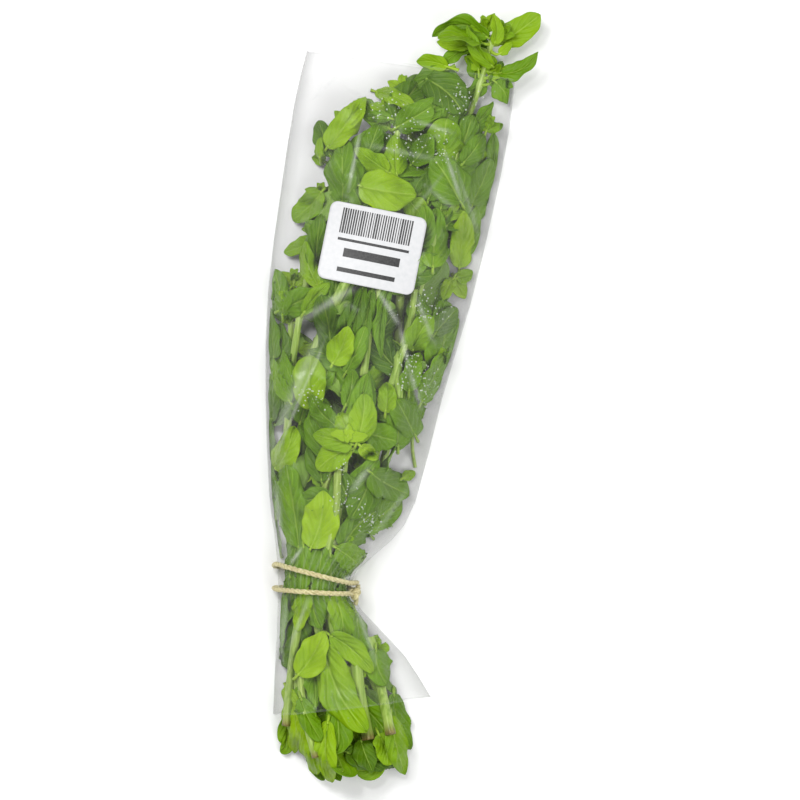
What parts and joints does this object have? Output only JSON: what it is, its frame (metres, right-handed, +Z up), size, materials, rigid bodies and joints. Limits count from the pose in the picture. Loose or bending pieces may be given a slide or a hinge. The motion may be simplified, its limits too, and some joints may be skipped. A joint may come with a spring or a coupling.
{
  "type": "tied bunch of mint in a film sleeve",
  "caption": "Cut mint sprigs tied with twine round the neck of an open clear film sleeve, with a bare label, lying flat on a surface.",
  "frame": {"origin": "on the table, under the middle of the box round the whole bunch", "axes": "+Y from the cut ends to the leafy tips, +X to the sleeve's wide side, +Z up from the table"},
  "size_m": [0.0922, 0.2564, 0.0301],
  "materials": {
    "leaf": "fresh satin leaf",
    "stem": "smooth green stem",
    "film": "clear glossy film",
    "label": "matt coated paper",
    "twine": "twisted natural fibre"
  },
  "bodies": {
    "root": {"label": "label", "sleeve": "film", "sprig_1_leaf_pair_1": "leaf", "sprig_1_leaf_pair_2": "leaf", "sprig_1_leaf_pair_3": "leaf", "sprig_1_leaf_pair_4": "leaf", "sprig_1_leaf_pair_5": "leaf", "sprig_1_leaf_pair_6": "leaf", "sprig_1_leaf_pair_7": "leaf", "sprig_1_stem": "stem", "sprig_2_leaf_pair_1": "leaf", "sprig_2_leaf_pair_2": "leaf", "sprig_2_leaf_pair_3": "leaf", "sprig_2_leaf_pair_4": "leaf", "sprig_2_leaf_pair_5": "leaf", "sprig_2_leaf_pair_6": "leaf", "sprig_2_stem": "stem", "sprig_3_leaf_pair_1": "leaf", "sprig_3_leaf_pair_2": "leaf", "sprig_3_leaf_pair_3": "leaf", "sprig_3_leaf_pair_4": "leaf", "sprig_3_leaf_pair_5": "leaf", "sprig_3_leaf_pair_6": "leaf", "sprig_3_stem": "stem", "sprig_4_leaf_pair_1": "leaf", "sprig_4_leaf_pair_2": "leaf", "sprig_4_leaf_pair_3": "leaf", "sprig_4_leaf_pair_4": "leaf", "sprig_4_leaf_pair_5": "leaf", "sprig_4_leaf_pair_6": "leaf", "sprig_4_stem": "stem", "sprig_5_leaf_pair_1": "leaf", "sprig_5_leaf_pair_2": "leaf", "sprig_5_leaf_pair_3": "leaf", "sprig_5_leaf_pair_4": "leaf", "sprig_5_leaf_pair_5": "leaf", "sprig_5_leaf_pair_6": "leaf", "sprig_5_stem": "stem", "sprig_6_leaf_pair_1": "leaf", "sprig_6_leaf_pair_2": "leaf", "sprig_6_leaf_pair_3": "leaf", "sprig_6_leaf_pair_4": "leaf", "sprig_6_stem": "stem", "sprig_7_leaf_pair_1": "leaf", "sprig_7_leaf_pair_2": "leaf", "sprig_7_leaf_pair_3": "leaf", "sprig_7_leaf_pair_4": "leaf", "sprig_7_stem": "stem", "sprig_8_leaf_pair_1": "leaf", "sprig_8_leaf_pair_2": "leaf", "sprig_8_leaf_pair_3": "leaf", "sprig_8_leaf_pair_4": "leaf", "sprig_8_stem": "stem", "sprig_9_leaf_pair_1": "leaf", "sprig_9_leaf_pair_2": "leaf", "sprig_9_leaf_pair_3": "leaf", "sprig_9_leaf_pair_4": "leaf", "sprig_9_stem": "stem", "twine": "twine", "twine_knot": "twine"}
  },
  "joints": []
}
